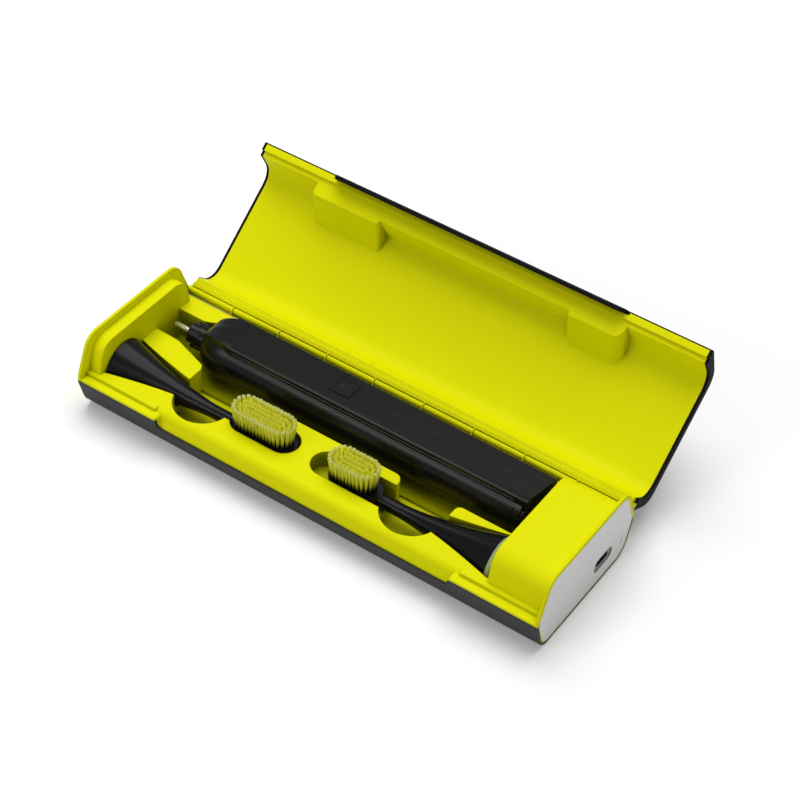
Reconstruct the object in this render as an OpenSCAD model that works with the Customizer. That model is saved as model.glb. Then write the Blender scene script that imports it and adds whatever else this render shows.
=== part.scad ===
// Travel case for an electric toothbrush: a hinged charging case with a moulded tray that holds
// the brush handle and two spare brush heads. The case lies along X, its hinge is at the back (+Y)
// and it stands on Z = 0. The lid is drawn open, in the place where its hinge stops it.

/* [Case] */
// Length of the case over both ends
case_l = 228; // [222:1:240]
// Height of the closed case
case_h = 37.4; // [37:0.1:39]
// Half width where the sharp top corners would meet
top_half = 29.4; // [28.5:0.1:31]
// Half width where the sharp side corners would meet
side_half = 37.1; // [36.5:0.1:38]
// Half width where the sharp bottom corners would meet
bottom_half = 31.6; // [30.5:0.1:33]
// Height of the widest line
side_z = 17.9; // [17.5:0.1:18.3]
// Rounding of the top corners
top_r = 8.4; // [7:0.1:9]
// Rounding of the side corners
side_r = 9.7; // [8:0.1:11]
// Rounding of the bottom corners
bottom_r = 8.3; // [7:0.1:9]
// Height of the line where lid and base part
parting_z = 18; // [17.8:0.1:18.2]
// Wall of the lower shell
shell_wall = 1.3; // [1.1:0.1:1.5]
// Wall of the lid's outer shell
lid_wall = 1.6; // [1.4:0.1:1.8]
// Gap between lid and base where they part
lid_gap = 0.2; // [0.15:0.05:0.3]

/* [Tongue of the lid] */
// Length of the tongue along the front
tongue_l = 145; // [138:1:150]
// Height of the tongue's lower edge
tongue_z = 12.5; // [12:0.1:13.5]
// Rounding of the tongue's corners
tongue_r = 3; // [2:0.1:4]
// Rounding of the tray's shoulder behind the tongue
shoulder_r = 4; // [3:0.1:4.5]

/* [Ends] */
// Thickness of the left end flange
flange_t = 1.4; // [1.2:0.1:1.6]
// Thickness of the right end plate
plate_t = 1.3; // [1.1:0.1:1.5]
// Width of the rim round the end plate
plate_rim = 1.8; // [1.6:0.1:2.1]
// Thickness of the left end wall, with its flange
end_wall_l = 7; // [6:0.1:8]
// Length of the charger block at the right end
block_l = 27.2; // [26.5:0.1:29]
// Half width of the block at its sharp top corners
block_top_half = 27.2; // [26.8:0.1:27.6]
// Half width of the block at deck level
block_foot_half = 30.1; // [29.8:0.1:30.4]
// Height of the block and of the left end wall
block_h = 33.6; // [33.4:0.1:33.8]
// Rounding of their top corners
block_r = 8; // [7:0.1:8.5]
// Wall round the electronics in the block
block_wall = 2.2; // [1.8:0.1:2.6]

/* [Tray] */
// Height of the deck
deck_z = 19.4; // [19.2:0.1:19.6]
// Half width of the deck
deck_half = 32.4; // [32:0.1:32.6]
// Thickness of the lip that caps the lower shell
lip_t = 0.8; // [0.6:0.1:1]
// Height of the handle pocket's floor
pocket_z = 3.9; // [3.5:0.1:4.1]
// Front edge of the handle pocket
pocket_front = -2.7; // [-3.2:0.1:-2.2]
// Back edge of the handle pocket
pocket_back = 29.8; // [29.7:0.1:30]
// Front edge of the channel for the shaft
channel_front = 7; // [6:0.1:8]
// Back edge of the channel for the shaft
channel_back = 23; // [22:0.1:24]
// Radius of the finger scoops
scoop_r = 13.1; // [12.5:0.1:13.3]
// Height of the scoops' floor
scoop_z = 6; // [5.5:0.1:7]
// Middle of the left finger scoop
scoop_1_x = -62.5; // [-64:0.5:-61]
// Middle of the right finger scoop
scoop_2_x = 42.3; // [41:0.5:43]

/* [Hinge] */
// Distance of the hinge pin behind the middle
hinge_y = 36.2; // [36:0.1:36.4]
// Height of the hinge pin
hinge_z = 19.4; // [19.2:0.1:19.6]
// Opening angle at the stop
open_angle = 140.5; // [130:0.5:141]
// Radius of the knuckles
knuckle_r = 1.6; // [1.5:0.05:1.7]
// Radius of the hinge pin
pin_r = 0.7; // [0.6:0.05:0.8]
// Number of knuckles, shared in turn by base and lid
knuckle_count = 9; // [5:2:13]

/* [Handle] */
// Distance of the handle's axis behind the middle
handle_y = 16.3; // [16.2:0.1:16.4]
// Radius of the round body
handle_r = 12.8; // [12.5:0.1:12.9]
// Height of the flat face above the axis
face_up = 13.6; // [13.2:0.1:13.9]
// Width of the flat face
face_w = 15.3; // [14:0.1:16]
// Length of the body from its nose to the end of the face
handle_l = 169.5; // [162:0.5:170]
// Gap from the end of the face to the block
handle_gap = 2.3; // [1.5:0.1:3]
// Length of the rounded nose, up to the seam of the face
nose_l = 18; // [16:0.5:20]
// Wall of the handle
handle_wall = 1.4; // [1.2:0.1:1.6]
// Radius of the collar that a brush head plugs on
collar_r = 4.8; // [4.4:0.1:5]
// Length of the collar
collar_l = 9.5; // [9:0.5:11]
// Radius of the drive shaft
shaft_r = 1.4; // [1.2:0.05:1.6]
// Length of the shaft beyond the collar
shaft_out = 9.5; // [8:0.5:10]
// Side of the square power button
button_w = 10; // [8:0.5:12]
// Middle of the power button
button_x = -14; // [-20:1:-8]
// Travel of the power button
button_travel = 0.5; // [0.3:0.1:0.6]

/* [Brush heads] */
// Distance of the heads' axes from the middle
head_y = -15.3; // [-15.6:0.1:-15]
// Height of the heads' axes
head_z = 15; // [14.8:0.1:15.2]
// Radius of the flared foot
foot_r = 12; // [11.5:0.1:12.1]
// Radius of the neck
neck_r = 3; // [2.6:0.1:3.3]
// Length of the flare
flare_l = 48; // [44:1:50]
// Length of the left head from its foot to its tip
head_1_l = 90.5; // [88:0.5:91]
// Length of the right head, which is a size smaller
head_2_l = 83; // [80:0.5:84]
// Gap between the right head's foot and the block
foot_gap = 2; // [1:0.5:3]
// Width of the bristle plate
plate_w = 12; // [11:0.1:12.4]
// Height of the bristle plate's face
plate_z = 18.6; // [18.4:0.1:18.9]
// Height of the bristle tips
tip_z = 31.4; // [30:0.1:32]
// Width of the bristle field
field_w = 10.4; // [9.6:0.1:10.6]
// Length of the bristle field of the left head
field_1_l = 28; // [26:0.5:28.5]
// Length of the bristle field of the right head
field_2_l = 22.5; // [20:0.5:25]
// Distance from strand to strand
strand_pitch = 1.2; // [1.15:0.05:1.5]
// Thickness of a strand
strand_d = 0.55; // [0.4:0.05:0.6]

/* [Hidden] */

$fn = 64;
corner_steps = 8;
over = 1;
fit = 0.05;
seat_gap = 0.3;
rest_gap = 0.25;

yellow = "#dcdf05";
black = "#1d1d1f";
dark = "#2a2a2c";
silver = "#bdbbbb";
steel = "#c9c9cc";
circuit = "#1f5b3a";
copper = "#b87333";
lime = "#c9d24a";

x_left = -case_l / 2;
x_right = case_l / 2;
wall_x = x_left + end_wall_l;
block_x = x_right - block_l;
lid_x0 = x_left + flange_t + seat_gap;
lid_x1 = x_right - plate_t - seat_gap;
lid_l = lid_x1 - lid_x0;
core_gap = 0.4;
// A size larger than the case, for cuts that go right through
big = 100;

// ---------------------------------------------------------------- outlines

function unit(v) = v / norm(v);

// Points of a round corner p between its neighbours a and b
function corner(a, p, b, r) =
    let (
        u = unit(a - p),
        v = unit(b - p),
        half = acos(u * v) / 2,
        centre = p + unit(u + v) * r / sin(half),
        start = p + u * r / tan(half) - centre,
        side = u[0] * v[1] - u[1] * v[0],
        sweep = (side > 0 ? -1 : 1) * (180 - 2 * half)
    )
    [for (i = [0:corner_steps])
        let (t = -sweep * i / corner_steps)
        centre + [start[0] * cos(t) + start[1] * sin(t), start[1] * cos(t) - start[0] * sin(t)]];

// Closed outline through sharp corners, each rounded by its own radius
function rounded(points, radii) =
    let (n = len(points))
    [for (i = [0:n - 1])
        each (radii[i] > 0
            ? corner(points[(i + n - 1) % n], points[i], points[(i + 1) % n], radii[i])
            : [points[i]])];

// Sharp corners of a convex outline moved inwards by d
function inset_points(points, d) =
    let (n = len(points))
    [for (i = [0:n - 1])
        let (
            u = unit(points[(i + n - 1) % n] - points[i]),
            v = unit(points[(i + 1) % n] - points[i])
        )
        points[i] + unit(u + v) * d / sin(acos(u * v) / 2)];

case_points = [
    [-bottom_half, 0], [bottom_half, 0], [side_half, side_z],
    [top_half, case_h], [-top_half, case_h], [-side_half, side_z]
];
case_radii = [bottom_r, bottom_r, side_r, top_r, top_r, side_r];

// Cross-section of the case, moved inwards by d
function case_outline(d) = rounded(inset_points(case_points, d), [for (r = case_radii) r - d]);

block_points = [
    [-block_foot_half, deck_z], [block_foot_half, deck_z],
    [block_top_half, block_h], [-block_top_half, block_h]
];

// Cross-section of the block and the left end wall, moved outwards by g, down to height z
function core_outline(g, z) =
    let (
        slope = (block_foot_half - block_top_half) / (block_h - deck_z),
        foot = block_foot_half + (deck_z - z) * slope + g,
        top = block_top_half - g * slope + g
    )
    rounded([[-foot, z], [foot, z], [top, block_h + g], [-top, block_h + g]],
        [0, 0, block_r + g, block_r + g]);

// Draws a cross-section in Y and Z as a bar along X
module along_x(x0, x1) {
    translate([x0, 0, 0])
        rotate([90, 0, 90])
            linear_extrude(x1 - x0)
                children();
}

// Draws a front view in X and Z as a bar along Y
module along_y(y0, y1) {
    translate([0, y1, 0])
        rotate([90, 0, 0])
            linear_extrude(y1 - y0)
                children();
}

// Round bar along X
module rod(x0, x1, y, z, r) {
    translate([x0, y, z])
        rotate([0, 90, 0])
            cylinder(h = x1 - x0, r = r);
}

module box(x0, x1, y0, y1, z0, z1) {
    translate([x0, y0, z0])
        cube([x1 - x0, y1 - y0, z1 - z0]);
}

// Flat bar with round ends, its length along X
module stadium(length, width) {
    square([length - width, width], center = true);
    for (end = [-1, 1])
        translate([end * (length - width) / 2, 0])
            circle(d = width);
}

// Front view of all that lies above the parting line, which drops by the tongue along the front
module above_parting(drop, grow) {
    half = tongue_l / 2 + grow;
    polygon(rounded([
        [-big * 2, parting_z - drop], [-half, parting_z - drop],
        [-half, tongue_z - drop - grow], [half, tongue_z - drop - grow],
        [half, parting_z - drop], [big * 2, parting_z - drop],
        [big * 2, big], [-big * 2, big]
    ], [0, 1.2, tongue_r + grow, tongue_r + grow, 1.2, 0, 0, 0]));
}

// Cuts away what lies above the front parting line in front, and above a level behind it
module cut_above(drop, grow) {
    along_y(-big, 0)
        above_parting(drop, grow);
    box(-big * 2, big * 2, -over, big, parting_z - drop, big);
}

// ---------------------------------------------------------------- case

module base_shell() {
    color(dark)
    difference() {
        along_x(x_left, x_right)
            polygon(case_outline(0));
        along_x(x_left - over, x_right + over)
            polygon(case_outline(shell_wall));
        cut_above(lip_t, 0);
        hinge_relief();
    }
}

// Space that the barrel of the hinge turns in
module hinge_relief() {
    rod(x_left + flange_t, x_right - plate_t, hinge_y, hinge_z, knuckle_r + seat_gap);
}

// Knuckles of one hinge leaf: leaf 0 is the base's, leaf 1 the lid's
module knuckles(leaf) {
    pitch = lid_l / knuckle_count;
    for (i = [leaf:2:knuckle_count - 1]) {
        x0 = lid_x0 + i * pitch + seat_gap / 2;
        x1 = x0 + pitch - seat_gap;
        rod(x0, x1, hinge_y, hinge_z, knuckle_r);
        if (leaf == 0) {
            box(x0, x1, hinge_y - knuckle_r, hinge_y, parting_z - lip_t, hinge_z);
            box(x0, x1, deck_half + seat_gap, hinge_y, parting_z - lip_t, parting_z);
        } else {
            box(x0, x1, hinge_y - knuckle_r, hinge_y - 0.2, hinge_z, strip_z1);
        }
    }
}
// The strip above the barrel, a part of the liner that carries the lid's knuckles
strip_z0 = hinge_z + knuckle_r + seat_gap;
strip_z1 = strip_z0 + 1.1;

module pin_bore() {
    rod(x_left + flange_t, x_right - plate_t, hinge_y, hinge_z, pin_r + fit);
}

// Where the channel widens into the handle's pocket: along its front side, and along its back side
front_x0 = wall_x + 12.5;
front_x1 = wall_x + 30;
front_y1 = channel_front - 6.5;
back_x0 = wall_x + 14;
back_x1 = wall_x + 28;

// Plan of the handle pocket with the narrow channel for collar and shaft
pocket_plan = rounded([
    [wall_x, channel_front], [front_x0, channel_front - 0.5], [front_x1, front_y1],
    [front_x1 + 2, pocket_front], [block_x, pocket_front], [block_x, pocket_back],
    [back_x1, pocket_back], [back_x0, channel_back], [wall_x, channel_back]
], [0, 12, 1.5, 1.5, 0, 0, 6, 6, 0]);

module handle_pocket() {
    intersection() {
        translate([0, 0, pocket_z])
            linear_extrude(big)
                polygon(pocket_plan);
        along_x(wall_x - over, block_x + over)
            polygon(rounded([
                [pocket_front, pocket_z], [pocket_back, pocket_z],
                [pocket_back, big], [pocket_front, big]
            ], [7, 11, 0, 0]));
    }
}

// Radius of a brush head at distance s from its foot
function head_r(s) = neck_r + (foot_r - neck_r) * pow(1 - min(s, flare_l) / flare_l, 1.5);
flare_steps = 12;

// Outer edge of the flared foot and the neck, up to a given length, starting at behind the foot
function head_edge(length, grow, behind) = [
    [foot_r + grow, -behind],
    for (i = [0:flare_steps]) [head_r(i * flare_l / flare_steps) + grow, i * flare_l / flare_steps],
    [neck_r + grow, length]
];

// Solid of revolution along +X from the foot
module head_horn(length, grow, behind) {
    rotate([0, 90, 0])
        rotate_extrude()
            polygon(concat([[0, -behind]], head_edge(length, grow, behind), [[0, length]]));
}

// Room round a lying head: its horn, open to the top
module head_room(length, behind) {
    edge = head_edge(length, head_gap, behind);
    head_horn(length, head_gap, behind);
    linear_extrude(big)
        polygon(concat(
            [for (p = edge) [p[1], -p[0]]],
            [for (i = [len(edge) - 1:-1:0]) [edge[i][1], edge[i][0]]]
        ));
}

head_gap = 0.8;
head_1_x = wall_x + 0.4;
head_2_x = block_x - foot_gap;
slot_w = 14.4;
slot_z = 11;
slot_gap = 1.4;
// Both pockets are long enough for the longer head
neck_room_l = head_1_l - field_1_l;

module head_1_place() {
    translate([head_1_x, head_y, head_z])
        children();
}

module head_2_place() {
    translate([head_2_x, head_y, head_z])
        rotate([0, 0, 180])
            children();
}

// Bristle slot from the neck end to the tip of a head
module bristle_slot(x0, x1) {
    translate([(x0 + x1) / 2, head_y, slot_z])
        linear_extrude(big)
            stadium(x1 - x0, slot_w);
}

// Round scoop for a fingertip, with a way through to the handle pocket. The way's corners are
// rounded; a left radius of 0 lets its left side run straight on into the pocket's slanting front.
module finger_scoop(x, left_r, right_r) {
    y = head_y - 1.6;
    x0 = x - scoop_r;
    x1 = x + scoop_r;
    flare = 6;
    left_side = left_r > 0
        ? [[x0 - flare, pocket_front + over], [x0 - flare, pocket_front], [x0, pocket_front]]
        : [[x0, pocket_front + over]];
    translate([x, y, scoop_z])
        cylinder(h = big, r = scoop_r);
    translate([0, 0, scoop_z])
        linear_extrude(big)
            polygon(rounded(
                concat([
                    [x0, y], [x1, y], [x1, pocket_front],
                    [x1 + flare, pocket_front], [x1 + flare, pocket_front + over]
                ], left_side),
                concat([0, 0, right_r, 0, 0], left_r > 0 ? [0, 0, left_r] : [0])));
}

module head_pockets() {
    head_1_place()
        head_room(neck_room_l, head_1_x - wall_x);
    head_2_place()
        head_room(neck_room_l, foot_gap);
    finger_scoop(scoop_1_x, 0, 2);
    finger_scoop(scoop_2_x, 4, 2.5);
    bristle_slot(head_1_x + neck_room_l - 4, head_1_x + head_1_l + slot_gap);
    bristle_slot(head_2_x - head_1_l - slot_gap, scoop_2_x);
}

// Charger board: its place, its thickness, its edges in Y and Z, and its screws
board_x = x_right - plate_t - 8.6;
board_t = 1.2;
board_y0 = -22;
board_y1 = 23;
board_z0 = 9;
board_z1 = 27;
board_tongue_h = 5;
board_screw_r = 1;
screw_l = 5.7;
screw_head_r = 1.9;
screw_head_t = 1.1;
post_r = 2.6;
usb_y = 13.5;
usb_z = 12;
usb_w = 8.9;
usb_h = 3.2;
usb_l = 8.2;
light_y = 28;
light_z = 10.6;
// Both coils: outer radius, thickness and width of the winding
coil_r = 9;
coil_t = 1.6;
coil_w = 4;

// Hollow for the electronics: all of the block, and the case below it
module block_hollow() {
    hollow_x0 = block_x + block_wall;
    hollow_x1 = x_right - plate_t + fit;
    along_x(hollow_x0, hollow_x1)
        polygon(core_outline(-block_wall, 8));
    intersection() {
        along_x(hollow_x0, hollow_x1)
            polygon(case_outline(5));
        box(block_x, x_right, -big, big, 0, deck_z - block_wall);
    }
}

// Places in Y and Z of the screws, and of the posts that carry the charger board
screw_places = [[board_y0 + 4, board_z1 - 7], [board_y1 - 20, board_z1 - 3]];

module board_posts() {
    for (p = screw_places)
        difference() {
            rod(block_x + block_wall / 2, board_x, p[0], p[1], post_r);
            rod(board_x + board_t - screw_l - 0.5, board_x + over, p[0], p[1], board_screw_r + fit);
        }
}

module inner_tray() {
    color(yellow)
    difference() {
        union() {
            difference() {
                union() {
                    // Body inside the lower shell, with the deck on it
                    intersection() {
                        along_x(x_left, x_right)
                            polygon(case_outline(shell_wall));
                        box(-big * 2, big * 2, -big, big, -over, parting_z - lip_t);
                    }
                    // Lip that caps the lower shell
                    intersection() {
                        along_x(x_left, x_right)
                            polygon(case_outline(0));
                        box(-big * 2, big * 2, -big, big, parting_z - lip_t, parting_z);
                    }
                    box(x_left, x_right, -deck_half, deck_half, parting_z - over, deck_z);
                }
                // The shoulder behind the lid's tongue
                intersection() {
                    difference() {
                        along_x(x_left - over, x_right + over)
                            polygon([[-big, 0], [0, 0], [0, big], [-big, big]]);
                        along_x(x_left - 2 * over, x_right + 2 * over)
                            polygon(shoulder_outline);
                    }
                    along_y(-big, 0)
                        above_parting(0, seat_gap);
                    box(-tongue_l / 2 - 3, tongue_l / 2 + 3, -big, 0, 0, big);
                }
            }
            // Left end: flange and wall
            intersection() {
                along_x(x_left, x_left + flange_t)
                    polygon(case_outline(0));
                box(-big * 2, big * 2, -big, big, parting_z - lip_t, big);
            }
            along_x(x_left, wall_x)
                polygon(core_outline(0, parting_z - over));
            // Right end: block and rim
            intersection() {
                along_x(x_right - plate_t, x_right)
                    polygon(case_outline(0));
                box(-big * 2, big * 2, -big, big, parting_z - lip_t, big);
            }
            along_x(block_x, x_right)
                polygon(core_outline(0, parting_z - over));
        }
        handle_pocket();
        head_pockets();
        hinge_relief();
        block_hollow();
        // Seat of the end plate
        along_x(x_right - plate_t, x_right + over)
            polygon(case_outline(plate_rim));
        base_magnet_holes();
    }
    color(yellow)
    difference() {
        knuckles(0);
        pin_bore();
    }
    color(yellow)
        board_posts();
}

// Cross-section of the tray behind the tongue, with its rounded shoulder
shoulder_inset = lid_wall + core_gap;
shoulder_outline = rounded([
    [-bottom_half + shoulder_inset, 0], [-side_half + 2 * shoulder_inset - 1.1, tongue_z - 1],
    [-deck_half + 0.6, deck_z], [big, deck_z], [big, 0]
], [0, 0, shoulder_r, 0, 0]);

// Dished recess round the charging port
dish_l = 14;
dish_w = 7;
dish_depth = 0.7;

module end_plate() {
    color(silver)
    difference() {
        along_x(x_right - plate_t, x_right)
            polygon(case_outline(plate_rim));
        // Dished recess and mouth of the charging port
        translate([x_right - dish_depth, usb_y, usb_z])
            rotate([90, 0, 90])
                linear_extrude(over)
                    stadium(dish_l, dish_w);
        translate([x_right - plate_t - over, usb_y, usb_z])
            rotate([90, 0, 90])
                linear_extrude(plate_t + 2 * over)
                    stadium(usb_w + 0.5, usb_h + 0.5);
        light_slit(0);
    }
}

// Slanted slit of the status light in the end plate
module light_slit(gap) {
    translate([x_right, light_y, light_z])
        rotate([60, 0, 0])
            translate([-10, -1.4 + gap, -0.35 + gap])
                cube([11, 2.8 - 2 * gap, 0.7 - 2 * gap]);
}

module status_light_pipe() {
    color("white")
    intersection() {
        light_slit(fit);
        box(board_x + board_t, x_right, 0, big, 0, big);
    }
}

module usb_socket() {
    color(steel)
    translate([board_x + board_t, usb_y, usb_z])
        rotate([90, 0, 90]) {
            difference() {
                linear_extrude(usb_l)
                    stadium(usb_w, usb_h);
                translate([0, 0, 1])
                    linear_extrude(usb_l)
                        stadium(usb_w - 0.6, usb_h - 0.6);
            }
            // Contact tongue in the mouth
            translate([-3.3, -0.35, 0.5])
                cube([6.6, 0.7, usb_l - 1.5]);
        }
}

module charger_board() {
    color(circuit)
    difference() {
        union() {
            box(board_x, board_x + board_t, board_y0, board_y1, board_z0, board_z1);
            // Tongue that carries the status light
            box(board_x, board_x + board_t, board_y1 - over, light_y + 0.6,
                board_z0, board_z0 + board_tongue_h);
        }
        for (p = screw_places)
            rod(board_x - over, board_x + board_t + over, p[0], p[1], board_screw_r + 0.2);
    }
    // Charger chip and inductor
    color("#222222") {
        box(board_x + board_t, board_x + board_t + chip_h,
            chip_y, chip_y + chip_w, chip_z, chip_z + chip_w);
        box(board_x + board_t, board_x + board_t + inductor_h,
            inductor_y, inductor_y + chip_w, inductor_z, inductor_z + chip_w);
    }
}

// Side, heights and places of the two square parts on the board
chip_w = 6;
chip_h = 1.2;
chip_y = -6;
chip_z = 16;
inductor_h = 2.6;
inductor_y = -15;
inductor_z = 12;

module board_screws() {
    color(steel)
    for (p = screw_places) {
        rod(board_x + board_t - screw_l, board_x + board_t, p[0], p[1], board_screw_r);
        rod(board_x + board_t, board_x + board_t + screw_head_t, p[0], p[1], screw_head_r);
    }
}

module charging_coil() {
    color(copper)
    difference() {
        rod(block_x + block_wall, block_x + block_wall + coil_t, handle_y, head_z + 2, coil_r);
        rod(block_x, block_x + block_l, handle_y, head_z + 2, coil_r - coil_w);
    }
}

// Magnets that hold the lid shut, one over the other at the front
magnet_l = 12;
magnet_w = 3;
magnet_h = 2;
magnet_y = -side_half + lid_wall + magnet_w + 2.1;
magnet_places = [-28, 12];
magnet_skin = 0.6;

module magnet_blocks(z0, gap) {
    for (x = magnet_places)
        box(x - magnet_l / 2 - gap, x + magnet_l / 2 + gap,
            magnet_y - gap, magnet_y + magnet_w + gap, z0 - gap, z0 + magnet_h + gap);
}

base_magnet_z = deck_z - 1.6 - magnet_h;
lid_magnet_z = deck_z + lid_gap + magnet_skin;

module base_magnet_holes() {
    magnet_blocks(base_magnet_z, fit);
}

module base_magnets() {
    color(steel)
        magnet_blocks(base_magnet_z, 0);
}

module hinge_pin() {
    color(steel)
        rod(lid_x0, lid_x1, hinge_y, hinge_z, pin_r);
}

// ---------------------------------------------------------------- lid

// Everything in the lid is drawn closed, then swung open about the pin
module swung() {
    translate([0, hinge_y, hinge_z])
        rotate([-open_angle, 0, 0])
            translate([0, -hinge_y, -hinge_z])
                children();
}

// Cuts away what lies below the lid's edge, except its tongue
module below_parting() {
    difference() {
        box(-big * 2, big * 2, -big, big, -big, big);
        along_y(-big, -side_half + 6)
            above_parting(-lid_gap, -lid_gap);
        box(-big * 2, big * 2, -side_half + 5, big, parting_z + lid_gap, big);
    }
}

// The back wall's edge stays above the barrel, so that it clears the base when open
module back_relief(edge_z) {
    hinge_relief();
    box(-big * 2, big * 2, hinge_y - knuckle_r, big, 0, edge_z);
}

module lid_shell() {
    color(black)
    swung()
    difference() {
        union() {
            difference() {
                along_x(lid_x0, lid_x1)
                    polygon(case_outline(0));
                along_x(lid_x0 - over, lid_x1 + over)
                    polygon(case_outline(lid_wall));
            }
            // Rims that cover the liner's ends
            for (x = [lid_x0, lid_x1 - end_rim])
                difference() {
                    along_x(x, x + end_rim)
                        polygon(case_outline(0));
                    along_x(x - over, x + end_rim + over)
                        polygon(core_outline(core_gap, 0));
                }
        }
        below_parting();
        edge_step();
        edge_lap();
        back_relief(strip_z1);
        box(-big * 2, big * 2, 0, big, 0, strip_z1);
    }
}

// Step of the lid's edge that closes round the deck
module edge_step() {
    box(-big * 2, big * 2, -deck_half - core_gap, deck_half + core_gap, 0, deck_z + lid_gap);
}

// Flange of the liner that laps over the shell's front edge, on both sides of the tongue
module edge_lap() {
    lap_z = parting_z + lid_gap;
    intersection() {
        along_x(lid_x0 + end_rim, lid_x1 - end_rim)
            polygon(case_outline(lap_cover));
        union() {
            box(-big * 2, -tongue_l / 2 - 1.5, -big, -deck_half - core_gap, lap_z, lap_z + lap_h);
            box(tongue_l / 2 + 1.5, big * 2, -big, -deck_half - core_gap, lap_z, lap_z + lap_h);
        }
    }
}
lap_cover = 0.6;
lap_h = 1.2;
// Width of the shell's end rims
end_rim = 1.3;

// Pad on the inside of the front wall, with a leaning face and two rounded upright edges
module pad(x0, x1, foot_y, top_y, left_r, right_r) {
    foot_z = deck_z + lid_gap;
    top_z = block_h + core_gap + 0.2;
    intersection() {
        translate([0, foot_y, foot_z])
            rotate([-atan2(top_y - foot_y, top_z - foot_z), 0, 0])
                translate([0, 0, -big / 2])
                    linear_extrude(big)
                        polygon(rounded([[x0, -big], [x1, -big], [x1, 0], [x0, 0]],
                            [0, 0, right_r, left_r]));
        along_x(x0 - over, x1 + over)
            polygon(case_outline(lid_wall));
        box(x0 - over, x1 + over, -big, 0, foot_z, top_z);
    }
}

pad_1_x = wall_x + 26.3;
pad_1_l = 34.7;
pad_2_x = block_x - 37.3;
pad_2_l = 25.5;
// Faces of the pads and of the thicker wall, at their foot and at their top
pad_foot_y = -24.7;
pad_top_y = -15;
wall_foot_y = -26.5;
wall_top_y = -23.5;

module lid_liner() {
    color(yellow)
    swung() {
        difference() {
            union() {
                difference() {
                    along_x(lid_x0 + end_rim, lid_x1 - end_rim)
                        polygon(case_outline(lid_wall));
                    along_x(lid_x0 - over, lid_x1 + over)
                        polygon(core_outline(core_gap, 0));
                }
                edge_lap();
                // Pads over the flares of the heads, and the thicker wall between them
                pad(pad_1_x, pad_1_x + pad_1_l, pad_foot_y, pad_top_y, 1.5, 1.5);
                pad(pad_2_x, pad_2_x + pad_2_l, pad_foot_y, pad_top_y, 1, 4);
                pad(pad_1_x + pad_1_l - 2, pad_2_x + 1.3, wall_foot_y, wall_top_y, 0, 0);
            }
            box(-big * 2, big * 2, -big, big, -big, parting_z + lid_gap);
            edge_step();
            back_relief(strip_z0);
            lid_magnet_holes();
        }
        // Strip above the barrel, with the knuckles under it
        box(lid_x0, lid_x1, hinge_y - 4, hinge_y - 0.2, strip_z0, strip_z1);
        difference() {
            knuckles(1);
            pin_bore();
        }
    }
}

module lid_magnet_holes() {
    magnet_blocks(lid_magnet_z, fit);
}

module lid_magnets() {
    color(steel)
    swung()
        magnet_blocks(lid_magnet_z, 0);
}

// ---------------------------------------------------------------- handle

handle_z = pocket_z + rest_gap + handle_r;
face_z = handle_z + face_up;
rear_x = block_x - handle_gap;
nose_x = rear_x - handle_l;
// The bar overhangs the round body's rear end
overhang = 5.5;
body_end_x = rear_x - overhang;
ring_x = body_end_x - 3;
// Rear cap: its plate, the step of its edge, and the plug that sits in the bore
cap_t = 1.6;
cap_step = 0.6;
plug_l = 3;
plug_step = 0.4;
panel_t = 1;
bar_w = face_w + 3.4;
chamfer = 1.7;
cavity_r = handle_r - handle_wall;
cavity_x0 = nose_x + 15;

// Height of the bar's underside above the axis
bar_foot = 7;

// Cross-section of the raised bar that carries the flat face
bar_section = [
    [-bar_w / 2, bar_foot], [bar_w / 2, bar_foot], [bar_w / 2, face_up - chamfer],
    [face_w / 2, face_up], [-face_w / 2, face_up], [-bar_w / 2, face_up - chamfer]
];

// Round body: a domed nose and a straight barrel
nose_profile = concat(
    [[0, 0], [collar_r + 1.5, 0]],
    [for (i = [1:10])
        let (t = 9 * i)
        [collar_r + 1.5 + (handle_r - collar_r - 1.5) * sin(t), 13 * (1 - cos(t))]],
    [[handle_r, body_end_x - nose_x], [0, body_end_x - nose_x]]
);

module on_handle_axis() {
    translate([0, handle_y, handle_z])
        children();
}

// Curve of the nose: it swells fast from its tip, then ever more slowly up to a given size
nose_steps = 10;
function nose_curve(size, power) = [
    for (i = [1:nose_steps])
        let (t = i / nose_steps)
        [nose_x + nose_l * pow(t, 3), size * pow(t, power)]
];

// Outline of the face in plan: rounded nose and slightly slanting rear end
nose_side = nose_curve(bar_w / 2, 0.66);
face_outline = rounded(concat(
    [for (p = nose_side) [p[0], -p[1]]],
    [[rear_x - 3, -bar_w / 2], [rear_x, bar_w / 2]],
    [for (i = [nose_steps - 1:-1:0]) nose_side[i]]
), [for (i = [1:2 * nose_steps + 2]) i > nose_steps && i < nose_steps + 3 ? 1.5 : 0]);

// Side view of the bar, from the axis up: the nose drops to the collar
bar_side = concat([[nose_x, 0]], nose_curve(face_up, 0.45), [[big, face_up + over], [big, 0]]);

module handle_bar() {
    intersection() {
        translate([0, handle_y, handle_z])
            along_x(nose_x, rear_x)
                polygon(bar_section);
        on_handle_axis()
            linear_extrude(big)
                polygon(face_outline);
        on_handle_axis()
            along_y(-big, big)
                polygon(bar_side);
    }
}

// Two fine grooves along each side, under the chamfer of the bar
module side_grooves() {
    for (side = [-1, 1], z = [8.6, 10.2])
        translate([nose_x + nose_l, handle_y + side * (bar_w / 2 + 0.25), handle_z + z])
            rotate([0, 90, 0])
                cylinder(h = handle_l - nose_l - 10, r = 0.55, $fn = 4);
}

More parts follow.
